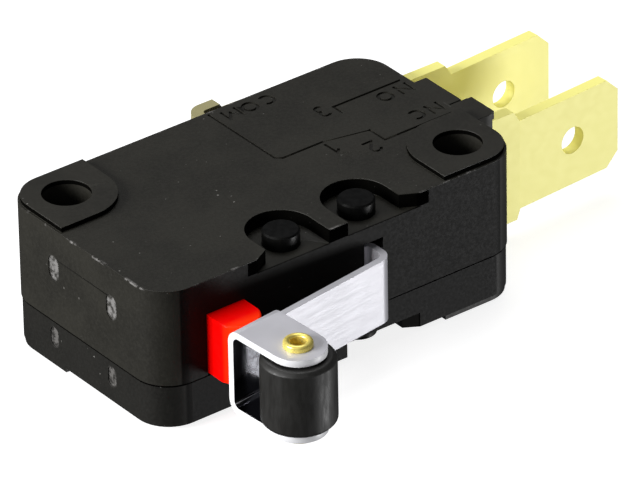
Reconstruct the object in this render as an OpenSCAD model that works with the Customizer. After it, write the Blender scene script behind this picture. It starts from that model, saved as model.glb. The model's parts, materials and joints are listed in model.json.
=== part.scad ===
// Snap-action micro switch with a short hinged roller lever and three push-on tabs.
// Frame, in mm: origin on the seating plane z = 0, midway between the two mounting holes.
// X runs along the body towards the NC and NO tabs, the lever and plunger are on the -Y side,
// the COM tab is on the +Y side, and Z is the thickness of the body.

/* [Body] */
// Length of the moulded body, end face to end face
body_length = 27.9; // [26:0.1:30]
// Width of the moulded body, lever face to far face
body_width = 15.9; // [15:0.1:17]
// Thickness over the raised mounting pads
body_thickness = 10.3; // [9.8:0.1:11]
// Height of a raised mounting pad, on each side
pad_height = 0.35; // [0.1:0.05:0.6]
// Height of the line where the case meets the cover
parting_height = 3.25; // [3:0.05:3.4]
// Radius of the body's corners, seen from above
corner_radius = 2.4; // [1:0.1:2.8]
// Depth of the two U-shaped recesses, on each side
recess_depth = 1.0; // [0.4:0.05:1]

/* [Mounting] */
// Diameter of the mounting holes
hole_diameter = 3.1; // [2.8:0.05:3.3]
// Distance between the mounting holes along the body
hole_pitch_x = 22.2; // [21.5:0.1:23]
// Distance between the mounting holes across the body
hole_pitch_y = 10.3; // [9.8:0.1:10.8]

/* [Terminals] */
// Width of a push-on tab
tab_width = 6.35; // [4.8:0.05:6.4]
// Thickness of the terminal sheet
tab_thickness = 0.8; // [0.5:0.05:0.85]
// Diameter of the hole in a tab
tab_hole = 1.85; // [1.2:0.05:2.2]
// Distance of the NC tab's tip from the origin
nc_tip = 26.1; // [24:0.1:27]
// Distance of the NO tab's tip from the origin
no_tip = 26.35; // [24:0.1:27]
// Outward lean of the NC and NO tabs, in degrees
tab_lean = 3.5; // [0:0.5:5]

/* [Lever and roller] */
// Thickness of the lever's sheet
lever_thickness = 0.45; // [0.3:0.05:0.5]
// Width of the lever's strip
lever_width = 4.46; // [3.6:0.02:4.6]
// Slope of the lever at rest, in degrees
lever_slope = 7.83; // [6:0.01:9]
// Width over the roller bracket's two ears
bracket_width = 5.8; // [5.6:0.1:6.4]
// Diameter of the roller
roller_diameter = 4.7; // [4:0.1:5]
// Length of the roller
roller_length = 4.6; // [4:0.1:4.7]

/* [Plunger] */
// Width of the plunger along the body
plunger_width = 2.8; // [2.4:0.1:3]
// Height of the plunger's slot side, through the thickness
plunger_height = 4.1; // [3.6:0.1:4.2]

/* [Hidden] */
$fn = 64;

black = [0.10, 0.10, 0.10];
brass = [0.82, 0.68, 0.30];
steel = [0.80, 0.80, 0.82];
silver = [0.88, 0.88, 0.86];
red = [0.85, 0.05, 0.03];

hl = body_length / 2;
hw = body_width / 2;
z_top = body_thickness - pad_height;      // plain top face of the case
z_bot = pad_height;                       // plain bottom face of the cover
zm = body_thickness / 2;                  // middle of the thickness
hx = hole_pitch_x / 2;
hy = hole_pitch_y / 2;
hole_r = hole_diameter / 2;
cav_top = 7.9;                            // ceiling of the mechanism's space
floor_cover = 2.45;                       // floor of the shallow hollow in the cover
t = tab_thickness;
tl = lever_thickness;
pin_r = 1.175;
pin_l = [-3.2, -5.95];
pin_c = [2.6, -5.9];                      // right pin, the lever turns on it
neck_z0 = parting_height + 0.05;
neck_z1 = 7.6;
sh_z0 = zm - 3.9;                         // shoulders of the tabs
sh_z1 = zm + 3.95;
nc_y = -2.9;                              // front faces of the tabs
no_y = 4.3;
com_y = 9.45;
nc_face = -1.55;                          // faces of the fixed contacts
no_face = 0.65;
blade_y = -1.0;                           // front of the blade
cx = 9.0;                                 // the contacts' place along the body

// ---- flat helpers ----
module plan(l, w, r) {
    square([l - 2 * r, w], center = true);
    square([l, w - 2 * r], center = true);
    for (sx = [-1, 1], sy = [-1, 1])
        translate([sx * (l / 2 - r), sy * (w / 2 - r)]) circle(r);
}

module wedge(r, a1, a2) {
    polygon(concat([[0, 0]], [for (k = [0:6]) 2 * r * [cos(a1 + (a2 - a1) * k / 6), sin(a1 + (a2 - a1) * k / 6)]]));
}

module arc(r1, r2, a1, a2) {
    if (a2 - a1 <= 180)
        intersection() {
            difference() { circle(r2); circle(r1); }
            wedge(r2, a1, a2);
        }
    else
        difference() {
            circle(r2);
            circle(r1);
            wedge(r2, a2 - 360, a1);
        }
}

module seg(a, b, w) {
    d = b - a;
    translate(a) rotate(atan2(d[1], d[0])) translate([-w / 2, -w / 2]) square([norm(d) + w, w]);
}

// ---- body outlines ----
module pad_plan() {
    intersection() {
        plan(body_length - 0.3, body_width - 0.3, corner_radius - 0.15);
        union() {
            translate([hx, -hy]) circle(3.15);
            translate([hx, -hw]) square([hl - hx, hw - hy + 3.15]);
            translate([hx - 3.15, -hw]) square([hl - hx + 3.15, hw - hy]);
        }
    }
}

module pads_plan() {
    pad_plan();
    rotate(180) pad_plan();
}

module mount_holes() {
    for (s = [-1, 1]) translate([s * hx, -s * hy, -1]) cylinder(r = hole_r, h = 13);
}

module recess_plan(c, r, flare_l, flare_r) {
    translate(c) circle(r);
    translate([c[0] - r, -hw - 1]) square([2 * r, hw + 1 + c[1]]);
    if (flare_l > 0)
        polygon([[c[0] - r + 0.01, -hw + 0.65], [c[0] - r - flare_l, -hw - 0.01], [c[0] - r + 0.01, -hw - 0.01]]);
    if (flare_r > 0)
        polygon([[c[0] + r - 0.01, -hw + 0.65], [c[0] + r + flare_r, -hw - 0.01], [c[0] + r - 0.01, -hw - 0.01]]);
}

module cavity_plan() {
    polygon([[-12.6, -6.5], [-5.7, -6.5], [-5.7, -3.05], [12.8, -3.05], [12.8, 5.7], [3.2, 5.7],
             [3.2, 6.4], [-8.2, 6.4], [-8.2, 2.5], [-12.6, 2.5]]);
}

// end blocks that shield the NC and NO tabs
module blocks_plan(grow) {
    translate([hl - 1, -0.7]) square([0.95 + 1 + grow, 3.5]);
    translate([hl - 1, -3.3]) square([1.35 + 1 + grow, 2.5]);
}

// slots through the walls for the three terminals
module terminal_slots(z0, z1) {
    translate([12, nc_y - 0.03, z0]) cube([4, t + 0.06, z1 - z0]);
    translate([12, no_y - 0.03, z0]) cube([4, t + 0.06, z1 - z0]);
    translate([1.57, 5.5, z0]) cube([t + 0.06, 4, z1 - z0]);
}

// room for the lever's curled end, and the slot its leg comes through
module lever_room(z0, z1) {
    translate([pin_c[0], pin_c[1], z0 + 0.1]) cylinder(r = 1.95, h = z1 - z0 - 0.25);
    translate([1.6, -hw - 1, z0]) cube([1.45, 2.1, z1 - z0]);
}

// ---- engraving: circuit lines, contact numbers and terminal names ----
module glyph_C() { arc(0.36, 0.58, 50, 310); }
module glyph_O() { difference() { circle(0.58); circle(0.36); } }
module glyph_N() {
    seg([-0.42, -0.48], [-0.42, 0.48], 0.2);
    seg([0.42, -0.48], [0.42, 0.48], 0.2);
    seg([-0.42, 0.48], [0.42, -0.48], 0.2);
}
module glyph_M() {
    seg([-0.5, -0.48], [-0.5, 0.48], 0.2);
    seg([0.5, -0.48], [0.5, 0.48], 0.2);
    seg([-0.5, 0.48], [0, -0.2], 0.2);
    seg([0.5, 0.48], [0, -0.2], 0.2);
}
module glyph_1() {
    seg([0, -0.6], [0, 0.6], 0.2);
    seg([0, 0.6], [-0.3, 0.32], 0.2);
}
module glyph_2() {
    translate([0, 0.28]) arc(0.22, 0.42, -30, 170);
    seg([0.28, 0.12], [-0.32, -0.6], 0.2);
    seg([-0.32, -0.6], [0.34, -0.6], 0.2);
}
module glyph_3() {
    translate([0, 0.3]) arc(0.2, 0.4, -90, 150);
    translate([0, -0.3]) arc(0.2, 0.4, -150, 90);
}
module placed(p) { translate(p) rotate(180) children(); }

module marks_plan() {
    w = 0.2;
    // COM lead, then the blade at its rest on the NC line
    seg([1.6, hw - 0.35], [1.6, 0.95], w);
    seg([1.6, 0.95], [2.0, 0.6], w);
    seg([2.0, 0.6], [5.05, 0.6], w);
    seg([5.05, 0.6], [8.2, -0.1], 0.12);
    seg([8.2, -0.1], [8.2, -1.6], w);
    seg([8.2, -1.6], [13.4, -1.6], w);
    // NO line with its short upright
    seg([13.4, 3.56], [8.2, 3.56], w);
    seg([8.2, 3.56], [8.2, 2.7], w);
    placed([5.53, 6.85]) glyph_C();
    placed([4.22, 6.85]) glyph_O();
    placed([2.85, 6.85]) glyph_M();
    placed([13.0, 2.6]) glyph_N();
    placed([11.5, 2.55]) glyph_O();
    placed([13.0, -0.5]) glyph_N();
    placed([11.6, -0.45]) glyph_C();
    placed([7.33, 3.55]) glyph_3();
    placed([7.15, -1.8]) glyph_2();
    placed([4.98, -0.4]) glyph_1();
}

// ---- moulded parts ----
module case() color(black) difference() {
    union() {
        translate([0, 0, parting_height]) linear_extrude(z_top - parting_height) plan(body_length, body_width, corner_radius);
        translate([0, 0, z_top - 0.5]) linear_extrude(0.5 + pad_height) pads_plan();
        translate([0, 0, parting_height]) linear_extrude(z_top - 0.6 - parting_height) blocks_plan(0);
        translate([0, 0, z_top - 0.6]) linear_extrude(0.6) {
            blocks_plan(0);
            translate([hl, -3.1]) square([1.65, 2.25]);
        }
    }
    mount_holes();
    // U-shaped recesses at the two pins
    translate([0, 0, z_top - recess_depth]) linear_extrude(3) {
        recess_plan(pin_l, 2.2, 1.2, 0);
        recess_plan(pin_c, 2.2, 0, 1.2);
    }
    for (p = [pin_l, pin_c]) translate([p[0], p[1], 0]) cylinder(r = pin_r + 0.02, h = 12);
    // space for the mechanism
    translate([0, 0, 0]) linear_extrude(cav_top) cavity_plan();
    // slot for the plunger
    translate([-8.9 - plunger_width / 2 - 0.08, -hw - 1, 0]) cube([plunger_width + 0.16, 3, 3.4 + plunger_height + 0.08]);
    terminal_slots(0, 7.65);
    lever_room(2.5, 7.9);
    // blind holes for the cover's two pegs
    translate([6.9, -5.2, 0]) cylinder(r = 0.83, h = 5);
    translate([8.0, 6.7, 0]) cylinder(r = 0.63, h = 5);
    // engraving
    translate([0, 0, z_top - 0.12]) linear_extrude(1) marks_plan();
    // ejector marks on the end face
    for (y = [2.76, -3.12]) translate([-hl - 0.5, y, 7.15]) rotate([0, 90, 0]) linear_extrude(0.56) ejector_plan();
}

module ejector_plan() {
    for (s = [-1, 1]) translate([s * 0.35, 0]) circle(0.52);
    square([0.7, 1.04], center = true);
}

module cover() color(black) difference() {
    union() {
        translate([0, 0, z_bot]) linear_extrude(parting_height - z_bot) plan(body_length - 0.14, body_width - 0.14, corner_radius - 0.07);
        linear_extrude(z_bot + 0.3) pads_plan();
        translate([0, 0, z_bot]) linear_extrude(parting_height - z_bot) blocks_plan(-0.07);
        translate([6.9, -5.2, 2]) cylinder(r = 0.8, h = 2.7);
        translate([8.0, 6.7, 2]) cylinder(r = 0.6, h = 2.7);
    }
    mount_holes();
    translate([0, 0, z_bot + recess_depth - 3]) linear_extrude(3) {
        recess_plan(pin_l, 2.35, 1.1, 0);
        recess_plan(pin_c, 2.35, 0, 1.1);
    }
    for (p = [pin_l, pin_c]) translate([p[0], p[1], 0]) cylinder(r = pin_r + 0.02, h = 12);
    translate([0, 0, floor_cover]) linear_extrude(3) intersection() {
        cavity_plan();
        translate([-12.6, -6.4]) square([24.6, 12]);
    }
    lever_room(2.5, 7.9);
    for (y = [3.0, -2.9]) translate([-hl - 0.43, y, 2.1]) rotate([0, 90, 0]) linear_extrude(0.56) scale([0.8, 0.8]) ejector_plan();
}

module pin_at(p) color(black) translate([p[0], p[1], 0]) {
    translate([0, 0, 0.45]) cylinder(r = pin_r, h = z_top - 0.45 - 0.12);
    translate([0, 0, z_top - 0.12]) cylinder(r1 = pin_r, r2 = pin_r - 0.1, h = 0.1);
}
module pin_left() pin_at(pin_l);
module pin_right() pin_at(pin_c);

// ---- plunger ----
module plunger() color(red) translate([-8.9, 0, 3.4]) {
    w = plunger_width;
    // outer part with its rounded front, through the wall
    linear_extrude(plunger_height) {
        translate([-w / 2, -8.95]) square([w, 2.6]);
        intersection() {
            translate([0, -8.95]) circle(1.5);
            translate([-w / 2, -10.5]) square([w, 1.6]);
        }
    }
    // flange that keeps it in, and the foot on the blade
    translate([0, 0, 0.1]) linear_extrude(plunger_height - 0.2) translate([-2.2, -6.42]) square([4.4, 1]);
    translate([0, 0, 0.5]) linear_extrude(plunger_height - 1) {
        translate([-0.6, -5.5]) square([1.2, 3.85]);
        translate([0, -1.65]) circle(0.6);
    }
}

// ---- lever with the roller bracket ----
ro = 1.0;                                   // outer radius of the lever's bend
leg_x = 2.68;                               // outer face of the leg
n_f = [sin(lever_slope), -cos(lever_slope)];
front_c = 9.75 * cos(lever_slope);          // the front face is p . n_f = front_c
bend = [leg_x - ro, -(front_c - ro - (leg_x - ro) * n_f[0]) / cos(lever_slope)];
rb = 0.45;                                  // small bend from leg to curl, on the centre line
rc = pin_r + 0.055 + tl / 2;                // curl, on the centre line
sb = [leg_x - tl / 2 - rb, pin_c[1] - sqrt(pow(rc + rb, 2) - pow(pin_c[0] - leg_x + tl / 2 + rb, 2))];
sb_a = atan2(pin_c[1] - sb[1], pin_c[0] - sb[0]);
zb = zm + 0.1;                              // middle of the bracket and roller
br_a = 6.6;                                 // slope of the bracket's web
br_o = [-6.7, -9.75 - 6.7 * tan(lever_slope)];
ear_a = 3.5;                                // lean of the ears
ear_r = 1.775;                              // half the width of an ear
axis_p = [-8.82, -14.94];                   // roller axis

module u_profile() difference() {
    union() {
        translate([-7, zb - bracket_width / 2]) square([7 + tl - 0.9, bracket_width]);
        translate([-7, zb - bracket_width / 2 + 0.9]) square([7 + tl, bracket_width - 1.8]);
        for (s = [-1, 1]) translate([tl - 0.9, zb + s * (bracket_width / 2 - 0.9)]) circle(0.9);
    }
    translate([-8, zb - bracket_width / 2 + tl]) square([8 - 0.45, bracket_width - 2 * tl]);
    translate([-8, zb - bracket_width / 2 + tl + 0.45]) square([8, bracket_width - 2 * tl - 0.9]);
    for (s = [-1, 1]) translate([-0.45, zb + s * (bracket_width / 2 - tl - 0.45)]) circle(0.45);
}

module lever() color(steel) {
    difference() {
        intersection() {
            translate([br_o[0], br_o[1], 0]) rotate([0, 0, br_a]) translate([-5, 0, 0])
                rotate([90, 0, 90]) linear_extrude(6) u_profile();
            translate([axis_p[0], axis_p[1], 0]) rotate([0, 0, ear_a]) linear_extrude(12) {
                translate([-ear_r, 0]) square([2 * ear_r, 7]);
                circle(ear_r);
            }
        }
        translate([axis_p[0], axis_p[1], 0]) cylinder(r = 0.72, h = 12);
    }
    translate([0, 0, zm - lever_width / 2]) linear_extrude(lever_width) {
        // short part of the web beside the ears
        translate(br_o) rotate(br_a) translate([-0.8, 0]) square([0.85, tl]);
        // the strip
        translate(bend + ro * n_f) rotate(lever_slope) translate([-norm(bend + ro * n_f - br_o), 0])
            square([norm(bend + ro * n_f - br_o), tl]);
        translate(bend) arc(ro - tl, ro, lever_slope - 91, 1);
        translate([leg_x - tl, bend[1] - 0.01]) square([tl, sb[1] - bend[1] + 0.02]);
        translate(sb) arc(rb - tl / 2, rb + tl / 2, -1, sb_a + 1);
        translate(pin_c) arc(rc - tl / 2, rc + tl / 2, sb_a - 180 - 240, sb_a - 179.5);
    }
}

module roller() color(black) translate([axis_p[0], axis_p[1], zb]) rotate_extrude() {
    r = roller_diameter / 2;
    h = roller_length / 2;
    polygon([[0.79, -h], [r - 0.25, -h], [r, -h + 0.25], [r, h - 0.25], [r - 0.25, h], [0.79, h]]);
}

module roller_rivet() color(brass) translate([axis_p[0], axis_p[1], 0]) {
    z0 = zb - bracket_width / 2;
    z1 = zb + bracket_width / 2;
    rotate_extrude() {
        translate([0.5, z0 - 0.1]) square([0.2, z1 - z0 + 0.4]);
        difference() {
            translate([0.5, z0 - 0.42]) square([0.85, 0.41]);
            translate([1.35, z0 - 0.42]) circle(0.2);
        }
        translate([0.72, z1 + 0.22]) circle(0.21);
        translate([0.5, z1 + 0.01]) square([0.43, 0.21]);
    }
}

// ---- terminals ----
// flat tab lying along +X from its root, front face at y = 0
module tab(len) {
    c = 0.95;
    rotate([90, 0, 0]) translate([0, 0, -t]) linear_extrude(t) difference() {
        polygon([[0, zm - tab_width / 2], [len - c, zm - tab_width / 2], [len, zm - tab_width / 2 + c],
                 [len, zm + tab_width / 2 - c], [len - c, zm + tab_width / 2], [0, zm + tab_width / 2]]);
        translate([len - 3.85, zm]) circle(tab_hole / 2);
    }
}

module shoulder(x0, x1, y) {
    translate([0, y, 0]) rotate([90, 0, 0]) translate([0, 0, -t]) linear_extrude(t)
        polygon([[x0, sh_z0], [x1 - 0.25, sh_z0], [x1, sh_z0 + 0.7], [x1, sh_z1 - 0.8], [x1 - 0.5, sh_z1], [x0, sh_z1]]);
}

module terminal_nc() color(brass) difference() {
    union() {
        translate([7.5, nc_y, neck_z0]) cube([15.45 - 7.5, t, neck_z1 - neck_z0]);
        shoulder(15.4, 17.8, nc_y);
        translate([17.6, nc_y, 0]) rotate([0, 0, tab_lean]) tab(nc_tip - 17.6);
    }
    translate([cx, 0, zm + 0.3]) rotate([90, 0, 0]) cylinder(r = 0.62, h = 6);
}

module terminal_no() color(brass) difference() {
    union() {
        translate([11.8, no_y, neck_z0]) cube([14.3 - 11.8, t, neck_z1 - neck_z0]);
        translate([11.8, no_face + 0.55, neck_z0]) cube([t, no_y + t - no_face - 0.55, neck_z1 - neck_z0]);
        translate([7.6, no_face + 0.55, neck_z0]) cube([4.6, t, neck_z1 - neck_z0]);
        shoulder(14.15, 18.1, no_y);
        translate([17.9, no_y, 0]) rotate([0, 0, tab_lean]) tab(no_tip - 17.9);
    }
    translate([cx, 0, zm + 0.3]) rotate([-90, 0, 0]) cylinder(r = 0.62, h = 3);
}

module terminal_com() color(brass) {
    x0 = 1.6;
    rout = 1.1;
    // through the far wall, then bent along the body
    translate([x0, 4.6, neck_z0]) cube([t, 8.1 - 4.6, neck_z1 - neck_z0]);
    translate([0, 0, sh_z0]) linear_extrude(sh_z1 - sh_z0) {
        translate([x0, 8.05]) square([t, com_y + t - rout - 8.05]);
        translate([x0 + rout, com_y + t - rout]) arc(rout - t, rout, 90, 180);
    }
    shoulder(x0 + rout, 4.3, com_y);
    translate([4.1, com_y, 0]) rotate([0, 0, -2]) tab(8.1);
    // inner strip, with the arm for the snap spring and the anchor for the blade
    translate([0, 0, neck_z0]) linear_extrude(neck_z1 - neck_z0) {
        translate([-7.9, 4.6]) square([x0 + t + 7.9, t]);
        translate([-7.9, 1.4]) square([t, 4]);
        translate([-12.2, 1.4]) square([5.1, t]);
        translate([-12.2, -0.78]) square([t, 2.9]);
    }
    translate([-12.2, -1.5, zm - 0.2]) cube([t, 1, 1.2]);
    translate([-0.3, 1.15, zm - 0.6]) cube([t, 3.8, 2]);
}

// ---- contacts, blade and spring ----
module contact_nc() color(silver) translate([cx, 0, zm + 0.3]) rotate([-90, 0, 0]) {
    translate([0, 0, nc_face - 0.55]) cylinder(r1 = 1.35, r2 = 1.15, h = 0.55);
    translate([0, 0, nc_y + 0.02]) cylinder(r = 0.6, h = 1);
}
module contact_no() color(silver) translate([cx, 0, zm + 0.3]) rotate([-90, 0, 0]) {
    translate([0, 0, no_face]) cylinder(r1 = 1.15, r2 = 1.35, h = 0.55);
    translate([0, 0, no_face + 0.3]) cylinder(r = 0.6, h = 1);
}
module contact_moving() color(silver) translate([cx, 0, zm + 0.3]) rotate([-90, 0, 0]) {
    translate([0, 0, blade_y - 0.5]) cylinder(r1 = 1.05, r2 = 1.25, h = 0.48);
    translate([0, 0, blade_y + 0.22]) cylinder(r1 = 1.25, r2 = 1.05, h = 0.48);
    translate([0, 0, blade_y - 0.3]) cylinder(r = 0.5, h = 0.8);
}
module blade() color([0.75, 0.5, 0.3]) translate([0, blade_y, 0]) rotate([90, 0, 0]) translate([0, 0, -0.2]) linear_extrude(0.2) difference() {
    translate([-12.4, zm + 0.3 - 1.8]) square([22.7, 3.6]);
    translate([cx, zm + 0.3]) circle(0.53);
    translate([-12.25, zm - 0.25]) square([t + 0.1, 1.3]);
    translate([-6, zm + 0.3 - 0.9]) square([10.2, 1.8]);
}
module snap_spring() color([0.75, 0.5, 0.3]) translate([2.6, -0.2, zm - 0.5]) linear_extrude(1.6) arc(2.4, 2.58, -12.5, 142);

case();
cover();
pin_left();
pin_right();
plunger();
lever();
roller();
roller_rivet();
terminal_com();
terminal_nc();
terminal_no();
contact_nc();
contact_no();
contact_moving();
blade();
snap_spring();
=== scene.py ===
import bpy, bmesh, math, json
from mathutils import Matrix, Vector


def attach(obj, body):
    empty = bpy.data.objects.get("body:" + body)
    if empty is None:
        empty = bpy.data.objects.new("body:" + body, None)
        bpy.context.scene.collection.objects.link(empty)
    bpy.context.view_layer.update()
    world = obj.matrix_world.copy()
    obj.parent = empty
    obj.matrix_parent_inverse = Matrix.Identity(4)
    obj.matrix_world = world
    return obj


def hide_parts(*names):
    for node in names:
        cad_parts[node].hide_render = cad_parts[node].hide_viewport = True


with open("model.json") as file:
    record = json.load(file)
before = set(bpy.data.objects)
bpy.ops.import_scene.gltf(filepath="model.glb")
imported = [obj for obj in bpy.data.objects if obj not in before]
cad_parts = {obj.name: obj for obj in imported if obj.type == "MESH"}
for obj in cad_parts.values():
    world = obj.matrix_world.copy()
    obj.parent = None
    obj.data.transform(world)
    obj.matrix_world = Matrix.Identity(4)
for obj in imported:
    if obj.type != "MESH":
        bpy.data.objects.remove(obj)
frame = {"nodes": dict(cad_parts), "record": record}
N = frame["nodes"]
MM = 0.001

BODY = {n: b for b, ns in frame["record"]["behaviour"]["bodies"].items() for n in ns}


# ---------------------------------------------------------------- materials
class Mat:
    def __init__(self, name):
        self.m = bpy.data.materials.new(name)
        self.m.use_nodes = True
        self.t = self.m.node_tree
        self.t.nodes.clear()
        self.out = self.t.nodes.new("ShaderNodeOutputMaterial")
        self.b = self.t.nodes.new("ShaderNodeBsdfPrincipled")
        self.t.links.new(self.b.outputs[0], self.out.inputs[0])
        self.co = self.t.nodes.new("ShaderNodeTexCoord").outputs["Object"]
        self.xyz = None

    def link(self, a, b):
        self.t.links.new(a, b)

    def set(self, **kw):
        for k, v in kw.items():
            self.b.inputs[k.replace("_", " ")].default_value = v

    def noise(self, scale, detail=4, rough=0.55, stretch=None):
        v = self.co
        if stretch:
            mp = self.t.nodes.new("ShaderNodeMapping")
            mp.inputs["Scale"].default_value = stretch
            self.link(self.co, mp.inputs[0])
            v = mp.outputs[0]
        n = self.t.nodes.new("ShaderNodeTexNoise")
        n.inputs["Scale"].default_value = scale
        n.inputs["Detail"].default_value = detail
        n.inputs["Roughness"].default_value = rough
        self.link(v, n.inputs["Vector"])
        return n.outputs["Fac"]

    def ramp(self, fac, lo, hi, a=0.0, b=1.0):
        r = self.t.nodes.new("ShaderNodeMapRange")
        r.interpolation_type = "SMOOTHSTEP"
        r.inputs["From Min"].default_value = lo
        r.inputs["From Max"].default_value = hi
        r.inputs["To Min"].default_value = a
        r.inputs["To Max"].default_value = b
        self.link(fac, r.inputs["Value"])
        return r.outputs[0]

    def math(self, op, a, b=None):
        n = self.t.nodes.new("ShaderNodeMath")
        n.operation = op
        for i, v in enumerate((a, b)):
            if v is None:
                continue
            if isinstance(v, (int, float)):
                n.inputs[i].default_value = v
            else:
                self.link(v, n.inputs[i])
        return n.outputs[0]

    def axis(self, i):
        if self.xyz is None:
            s = self.t.nodes.new("ShaderNodeSeparateXYZ")
            self.link(self.co, s.inputs[0])
            self.xyz = s.outputs
        return self.xyz[i]

    def mix(self, fac, a, b):
        n = self.t.nodes.new("ShaderNodeMix")
        n.data_type = "RGBA"
        for sock, v in ((n.inputs[0], fac), (n.inputs[6], a), (n.inputs[7], b)):
            if isinstance(v, (int, float)):
                sock.default_value = v
            elif isinstance(v, (tuple, list)):
                sock.default_value = (*v, 1) if len(v) == 3 else v
            else:
                self.link(v, sock)
        return n.outputs[2]

    def bump(self, height, strength, dist):
        n = self.t.nodes.new("ShaderNodeBump")
        n.inputs["Strength"].default_value = strength
        n.inputs["Distance"].default_value = dist
        self.link(height, n.inputs["Height"])
        self.link(n.outputs[0], self.b.inputs["Normal"])

    def color(self, c):
        self.link(c, self.b.inputs["Base Color"])

    def rough(self, r):
        self.link(r, self.b.inputs["Roughness"])

    def capsule(self, y, z, half, r):
        """1 inside an upright capsule on the end face, centred at (y, z) in mm."""
        dy = self.math("ABSOLUTE", self.math("SUBTRACT", self.axis(1), y * MM))
        dz = self.math("ABSOLUTE", self.math("SUBTRACT", self.axis(2), z * MM))
        dz = self.math("MAXIMUM", self.math("SUBTRACT", dz, half * MM), 0.0)
        d = self.math("SQRT", self.math("ADD", self.math("MULTIPLY", dy, dy), self.math("MULTIPLY", dz, dz)))
        return self.ramp(d, r * MM, (r - 0.2) * MM)


def black_moulding(name, base, marks):
    m = Mat(name)
    big = m.noise(260, 3)
    fine = m.noise(5200, 5, 0.6)
    c = m.mix(m.ramp(big, 0.35, 0.65), tuple(v * 0.85 for v in base), tuple(v * 1.18 for v in base))
    c = m.mix(m.ramp(fine, 0.4, 0.75, 0, 0.35), c, tuple(v * 1.7 for v in base))
    # pale dust specks
    speck = m.math("MULTIPLY", m.ramp(m.noise(3300, 2, 0.4), 0.72, 0.79), m.ramp(m.noise(420, 2), 0.50, 0.60))
    c = m.mix(m.math("MULTIPLY", speck, 0.6), c, (0.35, 0.34, 0.32))
    # scuffs along the upper edges
    x, y, z = (m.axis(i) for i in range(3))
    near = m.math("MAXIMUM", m.ramp(m.math("ABSOLUTE", x), 0.01376, 0.01388), m.ramp(m.math("ABSOLUTE", y), 0.00778, 0.00788))
    band = m.ramp(m.math("ABSOLUTE", m.math("SUBTRACT", z, 0.00989)), 0.00010, 0.00003)
    patchy = m.ramp(m.noise(900, 4, 0.7), 0.52, 0.64)
    wear = m.math("MULTIPLY", m.math("MULTIPLY", near, band), m.math("MULTIPLY", patchy, m.ramp(x, 0.0139, 0.0138)))
    c = m.mix(m.math("MULTIPLY", wear, 0.75), c, (0.30, 0.29, 0.28))
    for (my, mz, s) in marks:
        cap = m.math("MULTIPLY", m.capsule(my, mz, 0.36 * s, 0.56 * s), m.ramp(x, -0.0132, -0.0134))
        spot = m.math("MULTIPLY", cap, m.ramp(m.noise(2600, 3, 0.6), 0.40, 0.60, 0.12, 1))
        c = m.mix(m.math("MULTIPLY", spot, 0.5), c, (0.42, 0.41, 0.40) if mz > 4 else (0.24, 0.23, 0.22))
    # painted shade: the walls of the pads and recesses are painted near black and the parting groove is a painted
    # shadow line; the whole near face below the top edge also gets a painted shadow, and specular is lowered on all
    # of these
    inner = m.math("MULTIPLY", m.ramp(m.math("ABSOLUTE", m.math("ADD", x, 0.0003)), 0.00700, 0.00690), m.ramp(y, -0.0034, -0.0035))
    pad_wall = m.math("MULTIPLY", m.ramp(z, 0.00997, 0.01000), m.ramp(z, 0.01027, 0.01024))
    pit_wall = m.math("MULTIPLY", m.math("MULTIPLY", m.ramp(z, 0.00897, 0.00901), m.ramp(z, 0.00992, 0.00989)), inner)
    groove = m.ramp(m.math("ABSOLUTE", m.math("SUBTRACT", z, 0.00323)), 0.00010, 0.00006)
    # painted shadow over the whole near face below the top edge
    face = m.math("MULTIPLY", m.ramp(y, -0.00781, -0.00786), m.ramp(z, 0.00994, 0.00990))
    c = m.mix(m.math("MULTIPLY", face, 0.85), c, (0.0012, 0.0011, 0.0009))
    painted_shade = m.math("MAXIMUM", m.math("MAXIMUM", pad_wall, pit_wall), groove)
    c = m.mix(m.math("MULTIPLY", painted_shade, 0.93), c, (0.0008, 0.0008, 0.0008))
    m.color(c)
    m.rough(m.ramp(fine, 0.3, 0.7, 0.46, 0.56))
    m.link(m.math("MULTIPLY", m.math("SUBTRACT", 1.0, m.math("MAXIMUM", painted_shade, m.math("MULTIPLY", face, 0.7))), 0.32), m.b.inputs["Specular IOR Level"])
    m.bump(m.math("ADD", fine, m.math("MULTIPLY", m.noise(1500, 3), 0.7)), 0.12, 0.00002)
    return m.m


def simple(name, base, rough, metal=0.0, spec=0.5, scale=2500, amount=0.15, bump=0.12, stretch=None, dirt=0.0, dirt_color=(0.2, 0.15, 0.1), rv=0.2):
    m = Mat(name)
    n = m.noise(scale, 4, 0.6, stretch)
    big = m.noise(350, 3)
    c = m.mix(m.ramp(big, 0.3, 0.7), tuple(v * (1 - amount) for v in base), tuple(min(1, v * (1 + amount * 0.5)) for v in base))
    if dirt:
        c = m.mix(m.math("MULTIPLY", m.ramp(m.noise(900, 5, 0.7), 0.55, 0.75), dirt), c, dirt_color)
    m.color(c)
    m.rough(m.ramp(n, 0.3, 0.7, rough * (1 - rv), rough * (1 + rv)))
    m.set(Metallic=metal, Specular_IOR_Level=spec)
    m.bump(n, bump, 0.00002)
    return m.m


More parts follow.
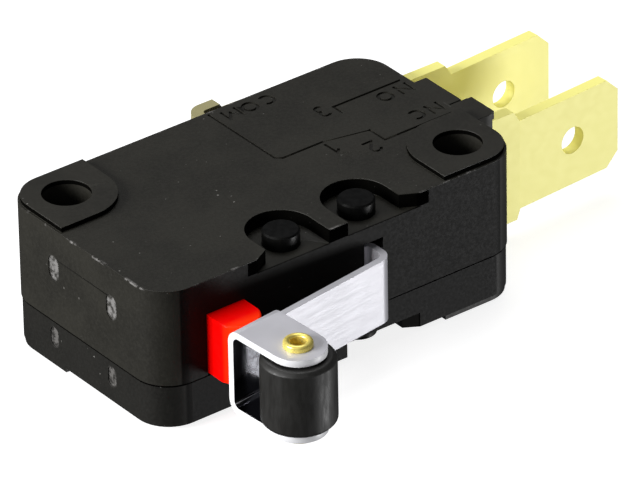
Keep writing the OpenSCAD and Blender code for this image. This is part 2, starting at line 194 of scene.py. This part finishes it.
MATS = {
    "case": black_moulding("black_case", (0.0178, 0.0168, 0.0130), [(2.76, 7.15, 1.0), (-3.12, 7.15, 1.0)]),
    "cover": black_moulding("black_cover", (0.0100, 0.0095, 0.0078), [(3.0, 2.1, 0.85), (-2.9, 2.1, 0.85)]),
    "pin": simple("black_pin", (0.003, 0.003, 0.0028), 0.40, spec=0.15),
    "plunger": simple("red_plunger", (0.98, 0.0008, 0.0004), 0.40, spec=0.10, amount=0.05, bump=0.06),
    "lever": simple("bright_strip", (0.66, 0.655, 0.70), 0.40, metal=0.28, scale=3500, amount=0.05, stretch=(0.15, 0.15, 1.6), bump=0.025, rv=0.1, dirt=0.10, dirt_color=(0.55, 0.52, 0.5)),
    "roller": simple("black_roller", (0.014, 0.0135, 0.012), 0.50, scale=2600, stretch=(1, 1, 0.25), bump=0.15),
    "roller_rivet": simple("rivet_brass", (1.0, 0.80, 0.20), 0.30, metal=0.45, amount=0.08, dirt=0.2, dirt_color=(0.3, 0.2, 0.06)),
    "tab": simple("pale_brass", (1.0, 0.955, 0.30), 0.45, metal=0.05, amount=0.012, scale=2500, bump=0.01, rv=0.05, stretch=(0.6, 1, 1), dirt=0.03, dirt_color=(0.7, 0.6, 0.3)),
    # painted shade: the COM terminal is the same brass as the others, given a lower-toned copy where it sits in
    # shadow
    "tab_com": simple("shaded_brass", (0.62, 0.57, 0.30), 0.42, metal=0.6, amount=0.03, scale=2500, bump=0.01, rv=0.05),
    "cut_edge": simple("cut_edges", (0.95, 0.95, 0.97), 0.45, metal=0.05, amount=0.05),
    # polished inner metal with a lowered base tone: partly real polish, partly painted shade
    "polished_and_shaded": simple("inner_polish_and_shade", (0.22, 0.22, 0.24), 0.12, metal=1.0, amount=0.05, bump=0.02),
    "silver": simple("silver_contact", (0.85, 0.85, 0.83), 0.3, metal=1.0),
    "bronze": simple("spring_bronze", (0.70, 0.46, 0.27), 0.35, metal=1.0),
}
# painted highlight: the plunger's crown front (y below -9.3 mm) is blended towards a warm orange
_pm = MATS["plunger"].node_tree
_pb = next(n for n in _pm.nodes if n.type == "BSDF_PRINCIPLED")
_old = _pb.inputs["Base Color"].links[0].from_socket
_tc = _pm.nodes.new("ShaderNodeTexCoord")
_sx = _pm.nodes.new("ShaderNodeSeparateXYZ")
_mr = _pm.nodes.new("ShaderNodeMapRange")
_mr.inputs["From Min"].default_value = -0.0093
_mr.inputs["From Max"].default_value = -0.0099
_crown_highlight = _pm.nodes.new("ShaderNodeMix")
_crown_highlight.data_type = "RGBA"
_crown_highlight.inputs[7].default_value = (1.0, 0.035, 0.002, 1)
_pm.links.new(_tc.outputs["Object"], _sx.inputs[0])
_pm.links.new(_sx.outputs[1], _mr.inputs["Value"])
_pm.links.new(_mr.outputs[0], _crown_highlight.inputs[0])
_pm.links.new(_old, _crown_highlight.inputs[6])
_pm.links.new(_crown_highlight.outputs[2], _pb.inputs["Base Color"])
# painted glow: the plunger and the NC/NO tabs get a faint emission so they read brighter, though neither is a lamp
for _k, _c, _glow in (("plunger", (1.0, 0.0, 0.0, 1), 0.13), ("tab", (1.0, 0.9, 0.25, 1), 0.22)):
    _b = next(n for n in MATS[_k].node_tree.nodes if n.type == "BSDF_PRINCIPLED")
    _b.inputs["Emission Color"].default_value = _c
    _b.inputs["Emission Strength"].default_value = _glow
KIND = {"pin_left": "pin", "pin_right": "pin", "terminal_com": "tab_com", "terminal_nc": "tab", "terminal_no": "tab",
        "contact_nc": "silver", "contact_no": "silver", "contact_moving": "silver", "blade": "bronze", "snap_spring": "bronze"}


# ---------------------------------------------------------------- meshes with small edge radii
def softened(node, width, segments, keep, angle=32):
    """A copy of the CAD node with its outer edges rounded; keep(a, b) says which sharp edges stay as they are."""
    bm = bmesh.new()
    bm.from_mesh(N[node].data)
    bmesh.ops.remove_doubles(bm, verts=bm.verts, dist=2e-7)
    bmesh.ops.dissolve_limit(bm, angle_limit=math.radians(0.6), verts=bm.verts, edges=bm.edges)
    bm.normal_update()
    todo = []
    for e in bm.edges:
        if len(e.link_faces) != 2:
            continue
        if e.calc_face_angle(0.0) < math.radians(angle):
            continue
        if keep(e.verts[0].co / MM, e.verts[1].co / MM):
            continue
        todo.append(e)
    if todo and width:
        bmesh.ops.bevel(bm, geom=todo, offset=width * MM, segments=segments, profile=0.5, affect="EDGES",
                        clamp_overlap=True, offset_type="OFFSET")
    me = bpy.data.meshes.new(node + "_soft")
    bm.to_mesh(me)
    bm.free()
    for p in me.polygons:
        p.use_smooth = True
    me.set_sharp_from_angle(angle=math.radians(32))
    o = bpy.data.objects.new(node + "_visual", me)
    bpy.context.scene.collection.objects.link(o)
    wn = o.modifiers.new("wn", "WEIGHTED_NORMAL")
    wn.keep_sharp = True
    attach(o, BODY[node])
    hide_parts(node)
    return o


def on_plan(p, inset=0.0, tol=0.02):
    """Is p on the body's rounded outline?"""
    L, W, R = 13.95 - inset, 7.95 - inset, 2.4 - inset
    x, y = abs(p.x), abs(p.y)
    if x > L - R and y > W - R:
        return abs(math.hypot(x - (L - R), y - (W - R)) - R) < tol
    return abs(x - L) < tol or abs(y - W) < tol


def keep_case(a, b):
    m = (a + b) / 2
    if min(a.z, b.z) > 10.28:
        return False
    if min(a.z, b.z) > 9.94 and max(a.z, b.z) < 9.96:
        if on_plan(a) and on_plan(b):
            return False
        for c in ((-3.2, -5.95), (2.6, -5.9)):
            if math.hypot(m.x - c[0], m.y - c[1]) < 2.35 and math.hypot(m.x - c[0], m.y - c[1]) > 1.9:
                return False
            if m.y < -5.9 and abs(abs(m.x - c[0]) - 2.2) < 0.05:
                return False
        if a.x > 13.9 and b.x > 13.9:
            return False
        return True
    if a.x > 14.0 and b.x > 14.0 and a.z > 3.3 and b.z > 3.3:
        return False
    if max(a.z, b.z) < 3.26 and on_plan(a) and on_plan(b) and a.x < 13.94 and b.x < 13.94:
        return False
    return True


def keep_cover(a, b):
    if max(a.z, b.z) < 0.02:
        return False
    if max(a.z, b.z) < 0.36 and on_plan(a, 0.07) and on_plan(b, 0.07):
        return False
    return True


made = {}
made["case"] = softened("case", 0.10, 2, keep_case)
made["plunger"] = softened("plunger", 0.12, 3, lambda a, b: max(a.y, b.y) > -7.9)
made["roller"] = softened("roller", 0.08, 2, lambda a, b: False, angle=25)
made["lever"] = softened("lever", 0.05, 2, lambda a, b: max(a.y, b.y) > -7.8)
for n in ("terminal_com", "terminal_nc", "terminal_no"):
    made[n] = softened(n, 0.06, 2, lambda a, b: max(a.x, b.x) < 14.5 and max(a.y, b.y) < 8.2)
for n, o in N.items():
    target = made.get(n, o)
    mat = MATS[KIND.get(n, n)]
    target.data.materials.clear()
    target.data.materials.append(mat)
    for p in target.data.polygons:
        p.material_index = 0

# the lever's cut edges are brighter than its rolled faces, and the bracket's inside gets a polished copy of the strip
# with a lowered tone as painted shade where the roller shades it
lv = made["lever"].data
lv.materials.append(MATS["cut_edge"])
lv.materials.append(MATS["polished_and_shaded"])
for p in lv.polygons:
    c = p.center / MM
    n = p.normal
    if c.x < -6.9 and c.y < -10.4:
        if abs(n.z) < 0.5 and c.z > 2.75 and c.z < 7.75 and n.y < -0.8:
            p.material_index = 2
        elif (c.z > 2.75 and c.z < 5 and n.z > 0.6) or (c.z < 7.75 and c.z > 5 and n.z < -0.6):
            p.material_index = 2
        elif n.x < -0.6 or (abs(n.z) < 0.4 and c.y < -12):
            p.material_index = 1
    elif n.z > 0.5 and c.y < -7.9:
        p.material_index = 1

# ---------------------------------------------------------------- stage, light and camera
sc = bpy.context.scene
bpy.ops.mesh.primitive_plane_add(size=3, location=(0, 0, -0.00002))
floor = bpy.context.object
floor.name = "floor"
fm = Mat("floor_white")
fm.color(fm.mix(fm.ramp(fm.noise(3, 2), 0.3, 0.7), (0.50, 0.50, 0.50), (0.53, 0.53, 0.53)))
fm.set(Roughness=0.9, Specular_IOR_Level=0.1)
fm.b.inputs["Emission Color"].default_value = (1, 1, 1, 1)
fm.b.inputs["Emission Strength"].default_value = 0.84
floor.data.materials.append(fm.m)
floor.visible_glossy = False
floor.visible_diffuse = False
floor.visible_shadow = False


def area(name, pos, size, power, color=(1, 1, 1)):
    d = bpy.data.lights.new(name, "AREA")
    d.shape = "RECTANGLE"
    d.size, d.size_y = size
    d.energy = power
    d.color = color
    o = bpy.data.objects.new(name, d)
    sc.collection.objects.link(o)
    o.location = pos
    o.rotation_euler = (-Vector(pos)).to_track_quat("-Z", "Y").to_euler()
    return o


area("top", (0.05, 0.12, 0.45), (0.30, 0.30), 0.95)
area("left", (-0.45, 0.10, 0.16), (0.30, 0.22), 3.6)
area("front_low", (0.26, -0.30, -0.16), (0.16, 0.12), 0.80)
area("front_left", (-0.30, -0.32, 0.22), (0.16, 0.16), 0.12)

w = bpy.data.worlds.new("studio")
sc.world = w
w.use_nodes = True
wt = w.node_tree
wt.nodes.clear()
wo = wt.nodes.new("ShaderNodeOutputWorld")
lp = wt.nodes.new("ShaderNodeLightPath")
mx = wt.nodes.new("ShaderNodeMixShader")
b1 = wt.nodes.new("ShaderNodeBackground")
b1.inputs[0].default_value = (0.9, 0.92, 1.0, 1)
b1.inputs[1].default_value = 0.07
b2 = wt.nodes.new("ShaderNodeBackground")
b2.inputs[0].default_value = (1, 1, 1, 1)
b2.inputs[1].default_value = 1.0
wt.links.new(lp.outputs["Is Camera Ray"], mx.inputs[0])
wt.links.new(b1.outputs[0], mx.inputs[1])
wt.links.new(b2.outputs[0], mx.inputs[2])
wt.links.new(mx.outputs[0], wo.inputs[0])

sc.view_settings.view_transform = "Standard"
sc.view_settings.look = "None"
sc.view_settings.exposure = 0.0
sc.view_settings.gamma = 1.0

yaw, pitch, roll = 0.9226, 0.5432, -0.0179
d = Vector((math.cos(pitch) * math.cos(yaw), math.cos(pitch) * math.sin(yaw), -math.sin(pitch)))
r = d.cross(Vector((0, 0, 1))).normalized()
u = r.cross(d)
cr, srr = math.cos(roll), math.sin(roll)
right = cr * r + srr * u
up = -srr * r + cr * u
cam = bpy.data.cameras.new("camera")
co = bpy.data.objects.new("camera", cam)
sc.collection.objects.link(co)
from mathutils import Matrix
M = Matrix((right, up, -d)).transposed().to_4x4()
M.translation = Vector((-0.2660195, -0.3568823, 0.2737947))
co.matrix_world = M
cam.sensor_fit = "HORIZONTAL"
cam.sensor_width = 36
cam.lens = 8469.547 * 36 / 640
cam.clip_start = 0.01
cam.clip_end = 20
sc.camera = co

bpy.context.view_layer.update()
